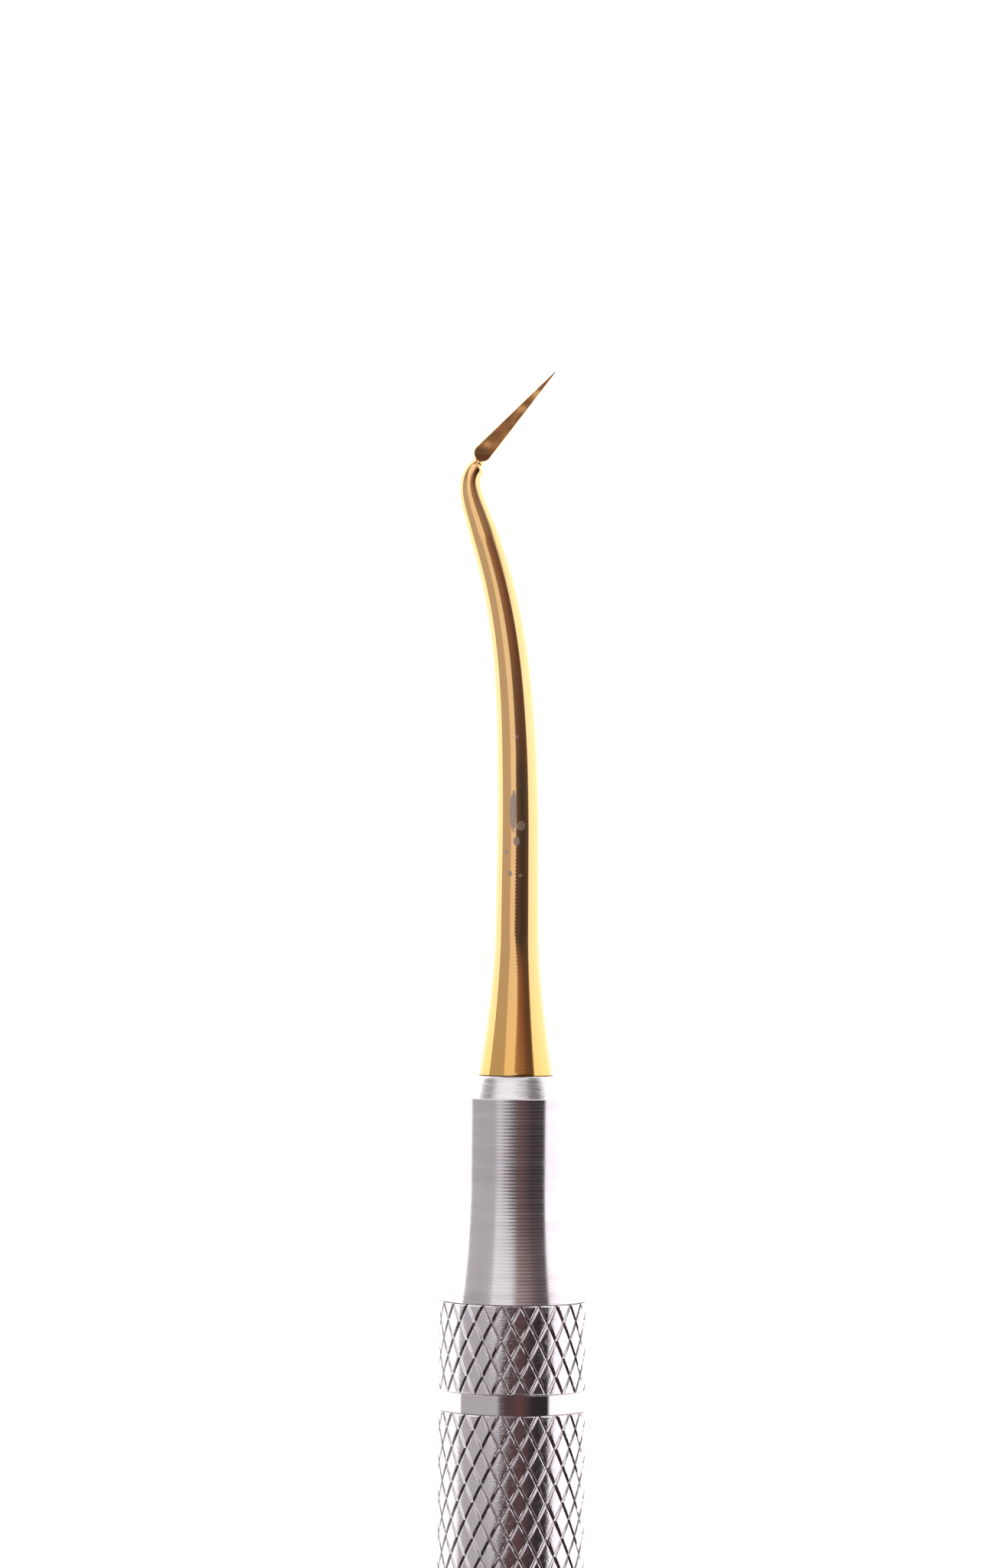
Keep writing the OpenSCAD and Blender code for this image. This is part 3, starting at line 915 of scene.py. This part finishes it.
def makeBlade():
    i = insert
    (x0, y0), (x1, y1) = i["bladeBase"], i["bladeTip"]
    heading = math.atan2(y1 - y0, x1 - x0)
    length = math.hypot(x1 - x0, y1 - y0)
    run = Vector((math.cos(heading), math.sin(heading), 0))
    stations = [(-i["bladeRound"] * math.cos(math.radians(a)), i["bladeRound"] * math.sin(math.radians(a)))
                for a in i["bladeAngles"]]
    count = i["bladeRings"]
    for k in range(count + 1):
        share = k / count
        stations.append((length * share, i["bladeRound"] + (i["bladePoint"] - i["bladeRound"]) * share))
    stations += [(length + past, radius) for past, radius in i["bladeEnd"]]
    rings = [(x0 + run.x * t, y0 + run.y * t, heading, r) for t, r in stations]
    piece = growRings("blade", rings, i["bladeSides"])
    side = Vector((-run.y, run.x, 0))
    lean, fall = math.radians(i["facetLean"]), math.radians(i["facetFall"])
    up = Vector((0, 0, math.cos(lean) * math.cos(fall)))
    facing = run * math.cos(lean) * math.sin(fall) - side * math.sin(lean) + up
    facing.normalize()
    onFacet = along(x0, y0) + facing * i["facetHeight"] * mm
    workOn(piece)
    bpy.ops.object.mode_set(mode="EDIT")
    bpy.ops.mesh.select_all(action="SELECT")
    bpy.ops.mesh.bisect(plane_co=onFacet, plane_no=facing, clear_outer=True, use_fill=True, threshold=1e-8)
    bpy.ops.mesh.select_mode(type="FACE")
    bpy.ops.mesh.region_to_loop()
    bpy.ops.mesh.bevel(offset=i["facetEdge"] * mm, offset_type="OFFSET", segments=2, clamp_overlap=True)
    bpy.ops.mesh.select_mode(type="VERT")
    tidyMesh()
    return piece


def makeInserts():
    rings = shankRings()
    piece = growRings("coatedInsert", rings + neckRings(rings), insert["sides"])
    blade = makeBlade()
    weld = piece.modifiers.new("weld", "BOOLEAN")
    weld.operation = "UNION"
    weld.object = blade
    weld.solver = "EXACT"
    applyAll(piece)
    bpy.data.objects.remove(blade)
    smoothBy(piece, insert["smooth"])
    bothEnds(piece, "coatedInsert", "explorer_tip", "tip", finishes["gold"])


makeInserts()
print("inserts bent and ground")

# the small inner parts keep the shapes they have in the frame
rubber = bpy.data.materials.new("sealRubber")
rubber.use_nodes = True
rubberShader = rubber.node_tree.nodes["Principled BSDF"]
rubberShader.inputs["Base Color"].default_value = (0.02, 0.02, 0.022, 1)
rubberShader.inputs["Roughness"].default_value = 0.6
bump(rubber.node_tree, rubberShader, noise(rubber.node_tree, (12.0, 12.0, 12.0), 3.0), 0.004)
innerParts = {"spigot_seal": rubber, "stop_screw": finishes["spring"], "sleeve_key_pin": finishes["spring"],
              "collar_snap_ring": finishes["spring"], "thrust_washer": finishes["bronze"]}
for part, finish in innerParts.items():
    for end in ("_a", "_b"):
        for holder in frame["nodes"][part + end].material_slots:
            holder.material = finish
